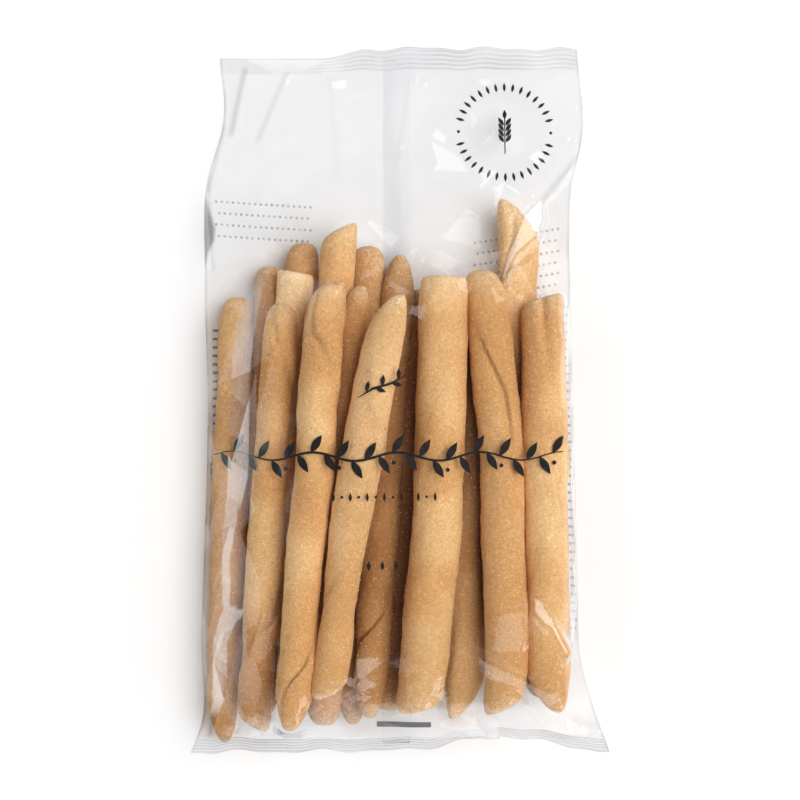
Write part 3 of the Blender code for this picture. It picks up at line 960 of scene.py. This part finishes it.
def creased(x, y):
    """How much painted shade greys the film where it is creased: along the sides, the cut edges, the
    seal ribs and in the side fold.
    """
    columns, rows = x.shape
    i = np.minimum(np.arange(columns), columns - 1 - np.arange(columns))[:, None]
    j = np.minimum(np.arange(rows), rows - 1 - np.arange(rows))[None, :]
    uneven = 0.65 + 0.2 * np.sin(y / 5.1 + x / 7) + 0.15 * np.sin(y / 1.9 - x / 3.1)
    rim = RIM_SHADE * np.clip(1 - np.minimum(i, j) / RIM_STEPS, 0, 1) * uneven
    into_top, into_bottom = into_seals(FINE)
    turns = 2 * math.pi * SEAL_RIBS * (into_top + into_bottom)
    ribs = RIB_SHADE * (0.5 - 0.5 * np.cos(turns)) ** 2
    ribs = ribs * np.where(into_top > 0, unfolded(x), 1) * uneven
    folds = np.maximum(SIDE_FOLD_SHADE * in_band(x, y, SIDE_FOLD, 0.9),
                       STRIP_SHADE * in_band(x, y, STRIP, 0.3))
    return np.minimum(np.maximum(np.maximum(rim, ribs), folds) + crease_painted_shade, 1)


def make_pouch(x, y, front, back):
    columns, rows = x.shape
    bpy.ops.object.select_all(action="DESELECT")
    bpy.ops.mesh.primitive_grid_add(x_subdivisions=columns - 1, y_subdivisions=rows - 1, size=2,
                                    location=(0, 0, 0))
    pouch = bpy.context.object
    pouch.name = "film"
    bpy.ops.object.mode_set(mode="EDIT")
    bpy.ops.mesh.select_all(action="SELECT")
    bpy.ops.mesh.extrude_region_move(TRANSFORM_OT_translate={"value": (0, 0, 1)})
    bpy.ops.mesh.select_all(action="SELECT")
    bpy.ops.mesh.normals_make_consistent(inside=False)
    bpy.ops.object.mode_set(mode="OBJECT")
    flat = points_of(pouch.data)
    i = np.round((flat[:, 0] + 1) / 2 * (columns - 1)).astype(int)
    j = np.round((flat[:, 1] + 1) / 2 * (rows - 1)).astype(int)
    upper = flat[:, 2] > 0.5
    height = np.where(upper, front[i, j], back[i, j])
    set_points(pouch.data, np.stack([x[i, j], y[i, j], height], 1) * MM)
    into_top, into_bottom = into_seals(FINE)
    in_seal = (np.maximum(into_top, into_bottom) > 0)[j]
    layers = np.where(upper & sloped[i, j], SLOPE_SHINE, 1.0)
    layers = np.where(upper & (in_band(x, y, FOLD)[i, j] > 0), FOLD_SHINE, layers)
    layers = np.where(upper & (pane_shine > 0)[i, j], pane_shine[i, j], layers)
    store(pouch.data, "layers", np.where(in_seal, SEAL_SHINE, layers))
    # painted shade of the creases, rims, seal ribs and folds, for the film's see-through colour
    store(pouch.data, "painted_crease_shade", np.where(upper, creased(x, y)[i, j], 0))
    store(pouch.data, "pane", np.where(upper, pane_shine[i, j] > 0, 0))
    bpy.ops.object.shade_smooth()
    return pouch


film = make_pouch(film_x, film_y, front, back)
print(f"film: {len(film.data.polygons)} faces")

# %% [markdown]
# ## Print
#
# The front is printed in black on the inner side of the film, so the film's glare lies over the
# ink. The print here is plain ornament: a ring of grains with an ear of wheat, a small sprig, a
# garland right across, and rows of dots. Every mark is one brush stroke: a narrow grid bent to
# its path, whose half width swells and shrinks along the way. The strokes are joined, dropped
# onto the film from above, and given the thickness of a coat of ink.

# %% Brush strokes
STROKE_STEP = 0.6


def stroke(path, half_widths):
    """One mark: a grid two faces wide, bent to a path of (x, y) points."""
    path = np.array(path, float)
    run = np.concatenate([[0], np.cumsum(np.hypot(*np.diff(path, axis=0).T))])
    count = max(int(run[-1] / STROKE_STEP), 4)
    at = np.linspace(0, run[-1], count + 1)
    centre = np.stack([np.interp(at, run, path[:, 0]), np.interp(at, run, path[:, 1])], 1)
    ahead = np.gradient(centre, axis=0)
    ahead /= np.hypot(*ahead.T)[:, None]
    aside = np.stack([-ahead[:, 1], ahead[:, 0]], 1)
    half = np.interp(at / run[-1], np.linspace(0, 1, len(half_widths)), half_widths)
    bpy.ops.object.select_all(action="DESELECT")
    bpy.ops.mesh.primitive_grid_add(x_subdivisions=count, y_subdivisions=2, size=2,
                                    location=(0, 0, 0))
    mark = bpy.context.object
    flat = points_of(mark.data)
    k = np.round((flat[:, 0] + 1) / 2 * count).astype(int)
    flat[:, :2] = (centre[k] + aside[k] * half[k, None] * flat[:, 1:2]) * MM
    set_points(mark.data, flat)
    return mark


GRAIN_SHAPE = (0.05, 0.6, 0.92, 1.0, 0.85, 0.5, 0.05)
DOT_SHAPE = (0.05, 0.68, 0.92, 1.0, 0.92, 0.68, 0.05)
BAR_SHAPE = (1.0, 1.0)


def mark(x, y, length, width, angle, shape=GRAIN_SHAPE):
    """A straight mark that starts at (x, y) and points in a direction in degrees."""
    turn = math.radians(angle)
    end = (x + length * math.cos(turn), y + length * math.sin(turn))
    return stroke([(x, y), end], [width / 2 * share for share in shape])


def dot(x, y, size):
    return mark(x - size / 2, y, size, size, 0, DOT_SHAPE)


def ear_of_wheat(x, y, length, grains, grain_length):
    """A stem with pairs of grains, and one grain on top."""
    marks = [stroke([(x, y), (x, y + length)], (0.16, 0.16))]
    for pair in range(grains):
        level = y + length * (0.32 + 0.62 * pair / grains)
        for side in (-1, 1):
            marks.append(mark(x + side * 0.25, level, grain_length, grain_length * 0.42,
                              90 - side * 34))
    marks.append(mark(x, y + length * 0.96, grain_length, grain_length * 0.42, 90))
    return marks


# %% The front print
def ring_of_grains(x, y, radius, count, grain_length):
    """Grains around a circle, with a dot on the left and on the right."""
    marks = []
    for k in range(count):
        turn = 360 * (k + 0.5) / count
        if min(turn % 180, 180 - turn % 180) < 12:
            continue
        start = radius - grain_length / 2
        marks.append(mark(x + start * math.cos(math.radians(turn)),
                          y + start * math.sin(math.radians(turn)),
                          grain_length, 0.85, turn))
    return marks + [dot(x + side * radius, y, 0.9) for side in (-1, 1)]


def garland(x0, x1, y, leaves, leaf_length):
    """A waving stem with leaves to both sides."""
    at = np.linspace(x0, x1, 90)
    wave = 1.1 * np.sin((at - x0) / 22 * 2 * math.pi)
    marks = [stroke(np.stack([at, y + wave], 1), (0.12, 0.3, 0.34, 0.3, 0.12))]
    for k in range(leaves):
        x = x0 + (x1 - x0) * (k + 0.6) / (leaves + 0.4)
        level = y + 1.1 * math.sin((x - x0) / 22 * 2 * math.pi)
        side = 1 if k % 2 else -1
        marks.append(mark(x, level, leaf_length, 2.1, side * 58))
        if k % 4 == 1:
            marks.append(dot(x + 0.4, level - 2.6, 1.2))
    return marks


front_marks = ring_of_grains(28.4, 72.6, 12.6, 34, 2.5)
front_marks += ear_of_wheat(28.4, 66.6, 10.0, 4, 2.7)
front_marks += [stroke([(-11.0, 0.6), (-7.0, 3.0), (-2.4, 4.3), (1.6, 6.6)], (0.1, 0.3, 0.3, 0.1))]
for x, y, angle in ((-8.8, 2.1, 78), (-6.4, 3.2, -22), (-4.6, 3.7, 84), (-2.2, 4.4, -12),
                    (-0.4, 5.4, 88)):
    front_marks.append(mark(x, y, 2.9, 1.2, angle))
front_marks += garland(-50.3, 43.4, -14.8, 26, 5.4)
for k in range(13):
    x = -17.4 + 2.22 * k
    front_marks.append(dot(x, -25.4, 0.8) if k % 2 else mark(x, -26.6, 2.4, 0.8, 90))
front_marks += [mark(x, -44.6, 2.4, 1.1, 90) for x in (-8.2, -4.6, -1.0)]

# %% The back print
# first mark (x, y), width, number of rows, row pitch, slant of the rows (degrees)
BLOCKS = [(-50.0, 54.0, 26.0, 4, 3.1, -3), (20.5, 43.0, 23.0, 7, 3.0, 9)]
DOT_PITCH = 1.5
DOT_SIZE = 0.85
back_marks = []
for x0, y0, width, rows, pitch, slant in BLOCKS:
    for row in range(rows):
        for x in np.arange(x0 + (row % 2) * DOT_PITCH / 2, x0 + width, DOT_PITCH):
            y = y0 - row * pitch + (x - x0) * math.tan(math.radians(slant))
            back_marks.append(dot(x, y, DOT_SIZE))
side_marks = []
for low, high, edge in ((-34.0, 20.0, None), (-62.0, 27.0, RIGHT_SIDE)):
    for y in np.arange(low, high, 2.3):
        x = -51.0 if edge is None else float(through(y, edge)) - 1.9
        side_marks.append(mark(x, y, dice.uniform(1.0, 1.6), 0.7, dice.uniform(-4, 4), BAR_SHAPE))
bar_marks = [mark(-6.3, -88.0, 14.7, 1.2, 0, BAR_SHAPE)]


# %% Drop the print onto the film
def net_of(obj):
    points = points_of(obj.data) / MM
    return BVHTree.FromPolygons(points.tolist(), [list(p.vertices) for p in obj.data.polygons])


INK = 0.03
film_net = net_of(film)


def print_on(marks, name, start, way, gap):
    """Join marks, lay them on the film seen from start, and give them thickness."""
    bpy.ops.object.select_all(action="DESELECT")
    for piece in marks:
        piece.select_set(True)
    bpy.context.view_layer.objects.active = marks[0]
    bpy.ops.object.join()
    ink = bpy.context.object
    ink.name = name
    points = points_of(ink.data) / MM
    for point in points:
        hit = film_net.ray_cast((point[0], point[1], start), (0, 0, way))[0]
        point[2] = hit.z + way * gap
    set_points(ink.data, points * MM)
    coat = ink.modifiers.new("coat", "SOLIDIFY")
    coat.thickness = INK * MM
    coat.offset = 0
    apply_all(ink)
    return ink


front_print = print_on(front_marks, "front_print", 60.0, -1, 0.06)
back_print = print_on(back_marks, "back_print", -5.0, 1, 0.06)
side_print = print_on(side_marks, "side_print", -5.0, 1, 0.06)
back_bar = print_on(bar_marks, "back_bar", -5.0, 1, 0.06)
print(f"print: {len(front_print.data.polygons)} and {len(back_print.data.polygons)} faces")

# %% [markdown]
# ## The back seam
#
# A bag like this is folded from one web of film. Its two edges meet on the back, where they are
# sealed into a fin that lies flat. It shows through the bag as a faint band down the middle.

# %% Fin on the back
FIN_LEFT = -4.6
FIN_WIDTH = 7.4
FIN_ROWS = 230
FIN_COLUMNS = 8
FIN_RIB = 1.5


def make_fin():
    """A long narrow grid under the back film, ribbed across and wavy along its free edge."""
    bpy.ops.object.select_all(action="DESELECT")
    bpy.ops.mesh.primitive_grid_add(x_subdivisions=FIN_COLUMNS, y_subdivisions=FIN_ROWS, size=2,
                                    location=(0, 0, 0))
    fin = bpy.context.object
    fin.name = "back_seam"
    flat = points_of(fin.data)
    across = (flat[:, 0] + 1) / 2
    y = -93.0 + 186.0 * (flat[:, 1] + 1) / 2
    wavy = 0.35 * np.sin(y / 7) + 0.2 * np.sin(y / 2.9 + 1)
    x = FIN_LEFT + across * (FIN_WIDTH + wavy)
    rib = 0.05 * np.sin(y / FIN_RIB * 2 * math.pi) * np.sin(math.pi * across)
    hits = [film_net.ray_cast((px, py, -5.0), (0, 0, 1))[0].z for px, py in zip(x, y)]
    z = np.array(hits) - 0.12 + rib * 0.8
    set_points(fin.data, np.stack([x, y, np.maximum(z, 0.08)], 1) * MM)
    doubled = fin.modifiers.new("two_layers", "SOLIDIFY")
    doubled.thickness = 0.05 * MM
    doubled.offset = 0
    apply_all(fin)
    store(fin.data, "layers", np.full(len(fin.data.vertices), FIN_SHINE))
    store(fin.data, "painted_crease_shade", np.zeros(len(fin.data.vertices)))
    store(fin.data, "pane", np.zeros(len(fin.data.vertices)))
    bpy.ops.object.shade_smooth()
    return fin


fin = make_fin()

# %% [markdown]
# ## Crumbs
#
# Semolina and crumbs rub off the sticks and gather where the film narrows to the bottom seal.

# %% Loose crumbs
CRUMBS = 36
crumb_x = dice.uniform(-46, 46, CRUMBS)
crumb_y = -84.5 - np.abs(dice.normal(0, 2.6, CRUMBS))
crumb_y = np.maximum(crumb_y, BOTTOM_SEAL_LINE + 1.2)
crumb_size = dice.choice([0.14, 0.18, 0.24, 0.34], CRUMBS, p=[0.4, 0.3, 0.2, 0.1])
inside = [film_net.ray_cast((px, py, -5.0), (0, 0, 1))[0].z for px, py in zip(crumb_x, crumb_y)]
crumb_z = np.array(inside) + crumb_size + 0.05
crumbs = make_grains("crumbs", np.stack([crumb_x, crumb_y, crumb_z], 1), crumb_size)
print(f"{CRUMBS} crumbs")

# %% Light and mirror of the film
def new_material(name):
    material = bpy.data.materials.new(name)
    material.use_nodes = True
    material.node_tree.nodes.clear()
    return material, material.node_tree


def add(tree, kind, values=None, **settings):
    """Add a node, set its options, and give its inputs numbers or links."""
    node = tree.nodes.new(kind)
    for key, value in settings.items():
        setattr(node, key, value)
    for socket, value in (values or {}).items():
        if isinstance(value, bpy.types.NodeSocket):
            tree.links.new(value, node.inputs[socket])
        else:
            node.inputs[socket].default_value = value
    return node


def place_of(tree):
    return add(tree, "ShaderNodeTexCoord").outputs["Object"]


def ramp(tree, value, stops):
    """A colour ramp from (position, colour) stops."""
    node = add(tree, "ShaderNodeValToRGB", {"Fac": value})
    while len(node.color_ramp.elements) < len(stops):
        node.color_ramp.elements.new(0.5)
    for element, (position, colour) in zip(node.color_ramp.elements, stops):
        element.position = position
        element.color = (*colour, 1)
    return node.outputs["Color"]


def blend(tree, factor, one, two, mode="MIX"):
    node = add(tree, "ShaderNodeMix", data_type="RGBA", blend_type=mode)
    for socket, value in (("Factor", factor), ("A", one), ("B", two)):
        target = [s for s in node.inputs if s.name == socket and s.enabled][0]
        if isinstance(value, bpy.types.NodeSocket):
            tree.links.new(value, target)
        else:
            target.default_value = value
    return [s for s in node.outputs if s.enabled][0]


def calculate(tree, operation, one, two=0.0, clamp=False):
    return add(tree, "ShaderNodeMath", {0: one, 1: two}, operation=operation,
               use_clamp=clamp).outputs[0]


def film_material():
    """Thin clear film: it lets light through and mirrors a little, more at a slant."""
    material, tree = new_material("clear_film")
    place = place_of(tree)
    fine = add(tree, "ShaderNodeTexNoise", {"Vector": place, "Scale": 420.0, "Detail": 2.0})
    broad = add(tree, "ShaderNodeTexNoise", {"Vector": place, "Scale": 90.0, "Detail": 1.0})
    height = calculate(tree, "ADD", fine.outputs["Fac"],
                       calculate(tree, "MULTIPLY", broad.outputs["Fac"], 3.0))
    ripple = add(tree, "ShaderNodeBump", {"Height": height, "Strength": 0.2, "Distance": 0.0002})
    turned = add(tree, "ShaderNodeVectorRotate", {"Vector": place, "Rotation": (0.5, 0.4, 0.6)},
                 rotation_type="EULER_XYZ")
    flats = add(tree, "ShaderNodeTexVoronoi", {
        "Vector": turned.outputs["Vector"], "Scale": 55.0, "Randomness": 1.0},
        distance="MANHATTAN")
    pane = add(tree, "ShaderNodeAttribute", attribute_name="pane").outputs["Fac"]
    bump = add(tree, "ShaderNodeBump", {
        "Height": flats.outputs["Distance"], "Strength": calculate(tree, "SUBTRACT", 1.0, pane),
        "Distance": 0.0012,
        "Normal": ripple.outputs["Normal"]})
    behind = add(tree, "ShaderNodeNewGeometry").outputs["Backfacing"]
    bending = calculate(tree, "SUBTRACT", 1.5, calculate(tree, "MULTIPLY", behind, 0.8333))
    fresnel = add(tree, "ShaderNodeFresnel", {"IOR": bending, "Normal": bump.outputs["Normal"]})
    layers = add(tree, "ShaderNodeAttribute", attribute_name="layers").outputs["Fac"]
    mirror = calculate(tree, "MULTIPLY", fresnel.outputs["Fac"], 1.9)
    mirror = calculate(tree, "MULTIPLY", mirror, layers, clamp=True)
    path = add(tree, "ShaderNodeLightPath").outputs
    unseen = calculate(tree, "MAXIMUM", path["Is Diffuse Ray"], path["Is Shadow Ray"])
    mirror = calculate(tree, "MULTIPLY", mirror, calculate(tree, "SUBTRACT", 1.0, unseen))
    # the film greys towards its steep sides as seen from the camera: painted shade, also in the
    # shadows it casts
    facing = add(tree, "ShaderNodeLayerWeight", {"Blend": 0.5}).outputs["Facing"]
    see_through_with_painted_shade = ramp(tree, facing, [(0.42, (0.997, 0.998, 1.0)), (0.72, (0.90, 0.90, 0.91)),
                                (0.95, (0.60, 0.60, 0.62))])
    # creases, cut edges, seal ribs and folds get painted shade: they grey the film's see-through
    # colour
    painted_crease_shade = add(tree, "ShaderNodeAttribute", attribute_name="painted_crease_shade").outputs["Fac"]
    grey = ramp(tree, painted_crease_shade, [(0.0, (1.0, 1.0, 1.0)), (1.0, (0.36, 0.36, 0.38))])
    see_through_with_painted_shade = blend(tree, 1.0, see_through_with_painted_shade, grey, "MULTIPLY")
    clear = add(tree, "ShaderNodeBsdfTransparent", {"Color": see_through_with_painted_shade})
    gloss = add(tree, "ShaderNodeBsdfPrincipled", {
        "Base Color": (0.97, 0.98, 1.0, 1), "Metallic": 1.0, "Roughness": 0.07,
        "Normal": bump.outputs["Normal"]})
    mix = add(tree, "ShaderNodeMixShader", {0: mirror, 1: clear.outputs[0], 2: gloss.outputs[0]})
    add(tree, "ShaderNodeOutputMaterial", {"Surface": mix.outputs[0]})
    return material


clear_film = film_material()
film.data.materials.append(clear_film)
fin.data.materials.append(clear_film)

# %% [markdown]
# Ink is a thin coat: dense black on the front, thin grey on the back. A little noise in its
# colour and roughness keeps it from looking cut out of paper.


# %% Ink
def ink_material(name, dark, light, thin):
    material, tree = new_material(name)
    spread = add(tree, "ShaderNodeTexNoise", {"Vector": place_of(tree), "Scale": 800.0})
    colour = ramp(tree, spread.outputs["Fac"], [(0.3, dark), (0.7, light)])
    roughness = ramp(tree, spread.outputs["Fac"], [(0.3, (0.35,) * 3), (0.7, (0.6,) * 3)])
    bump = add(tree, "ShaderNodeBump", {"Height": spread.outputs["Fac"], "Distance": 0.00005})
    shader = add(tree, "ShaderNodeBsdfPrincipled", {
        "Base Color": colour, "Roughness": roughness, "Alpha": thin,
        "Specular IOR Level": 0.3, "Normal": bump.outputs["Normal"]})
    add(tree, "ShaderNodeOutputMaterial", {"Surface": shader.outputs[0]})
    return material


black_ink = ink_material("black_ink", (0.008, 0.007, 0.007), (0.02, 0.018, 0.017), 1.0)
front_print.data.materials.append(black_ink)
back_bar.data.materials.append(black_ink)
back_print.data.materials.append(
    ink_material("grey_ink", (0.16, 0.16, 0.17), (0.30, 0.30, 0.31), 0.27))
side_print.data.materials.append(
    ink_material("dark_grey_ink", (0.06, 0.06, 0.07), (0.14, 0.14, 0.15), 0.45))

# %% [markdown]
# ## The look of the crust
#
# A breadstick is pale tan where it was dusted, golden on most of its skin and brown where it
# lay on the tray. The seam's dark line is painted shade, and so is the deep brown of the sticks
# lying deep in the heap. The rope's own numbers say where each of these is, and noise breaks up
# their borders. Fine specks stand for semolina that is baked into the skin.

# %% Crust material
def crust_material():
    material, tree = new_material("crust")
    place = place_of(tree)

    def noise(scale, detail, roughness=0.5):
        return add(tree, "ShaderNodeTexNoise", {
            "Vector": place, "Scale": scale, "Detail": detail, "Roughness": roughness}
        ).outputs["Fac"]

    def kept(name):
        return add(tree, "ShaderNodeAttribute", attribute_name=name).outputs["Fac"]

    patches = noise(38.0, 2.0)
    mottle = noise(900.0, 2.0, 0.6)
    grit = noise(2100.0, 1.0, 0.6)
    colour = ramp(tree, patches, [(0.38, (0.62, 0.318, 0.117)), (0.5, (0.72, 0.396, 0.157)),
                                  (0.62, (0.82, 0.505, 0.228))])
    # the dark end of this ramp is painted shade for the sticks deep in the heap; the pale end is
    # paler baking, and painted light on broken's head
    tone_and_painted_light = ramp(tree, kept("tone_and_painted_light"), [(0.0, (0.34, 0.23, 0.17)), (0.3, (0.73, 0.67, 0.62)),
                                     (0.5, (1.0, 1.0, 1.0)), (1.0, (1.30, 1.60, 2.10))])
    colour = blend(tree, 1.0, colour, tone_and_painted_light, "MULTIPLY")
    toast = calculate(tree, "MULTIPLY", calculate(tree, "POWER", kept("toast"), 2.0),
                      calculate(tree, "MULTIPLY", patches, 0.9))
    colour = blend(tree, toast, colour, (0.55, 0.275, 0.10, 1))
    flour = calculate(tree, "MULTIPLY", calculate(tree, "POWER", kept("tip"), 2.0),
                      calculate(tree, "MULTIPLY", mottle, 0.9))
    colour = blend(tree, flour, colour, (0.86, 0.66, 0.42, 1))
    # the seam's dark line is painted shade where the groove lies
    seam = calculate(tree, "MULTIPLY", calculate(tree, "POWER", kept("seam"), 1.6), 0.7)
    colour = blend(tree, seam, colour, (0.25, 0.12, 0.05, 1))
    shade = ramp(tree, mottle, [(0.32, (0.92, 0.89, 0.85)), (0.68, (1.06, 1.07, 1.09))])
    colour = blend(tree, 1.0, colour, shade, "MULTIPLY")
    specks = ramp(tree, grit, [(0.28, (0.84, 0.78, 0.70)), (0.41, (0.98, 0.97, 0.96)),
                               (0.57, (1.0, 1.0, 1.0)), (0.70, (1.20, 1.26, 1.36))])
    colour = blend(tree, 1.0, colour, specks, "MULTIPLY")
    burnt = add(tree, "ShaderNodeTexVoronoi", {"Vector": place, "Scale": 260.0})
    chance = add(tree, "ShaderNodeSeparateColor", {"Color": burnt.outputs["Color"]}).outputs["Red"]
    spot = calculate(tree, "MULTIPLY", calculate(tree, "GREATER_THAN", chance, 0.955),
                     calculate(tree, "LESS_THAN", burnt.outputs["Distance"], 0.085))
    colour = blend(tree, spot, colour, (0.30, 0.155, 0.07, 1))
    relief = calculate(tree, "ADD", calculate(tree, "MULTIPLY", grit, 0.8),
                       calculate(tree, "MULTIPLY", mottle, 0.8))
    bump = add(tree, "ShaderNodeBump", {"Height": relief, "Strength": 0.6, "Distance": 0.0004})
    roughness = ramp(tree, mottle, [(0.3, (0.95, 0.95, 0.95)), (0.7, (0.80, 0.80, 0.80))])
    shader = add(tree, "ShaderNodeBsdfPrincipled", {
        "Base Color": colour, "Roughness": roughness, "Specular IOR Level": 0.25,
        "Normal": bump.outputs["Normal"]})
    add(tree, "ShaderNodeOutputMaterial", {"Surface": shader.outputs[0]})
    return material


def semolina_material():
    """Pale yellow, hard and a little glossy."""
    material, tree = new_material("semolina")
    tint = add(tree, "ShaderNodeTexNoise", {"Vector": place_of(tree), "Scale": 900.0})
    colour = ramp(tree, tint.outputs["Fac"], [(0.35, (0.82, 0.56, 0.30)), (0.65, (0.97, 0.82, 0.58))])
    bump = add(tree, "ShaderNodeBump", {"Height": tint.outputs["Fac"], "Distance": 0.0001})
    shader = add(tree, "ShaderNodeBsdfPrincipled", {
        "Base Color": colour, "Roughness": 0.5, "Normal": bump.outputs["Normal"]})
    add(tree, "ShaderNodeOutputMaterial", {"Surface": shader.outputs[0]})
    return material


crust = crust_material()
hard_grain = semolina_material()
semolina.data.materials.append(hard_grain)
crumbs.data.materials.append(hard_grain)
for stick in sticks.values():
    stick.data.materials.append(crust)

# %% Hang each piece on the root body, and hide the CAD bag
def belongs(piece):
    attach(piece, "root")
    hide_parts("bag")


belongs(film)
belongs(fin)
for piece in (*sticks.values(), semolina, crumbs):
    belongs(piece)
for piece in (front_print, back_print, side_print, back_bar):
    belongs(piece)
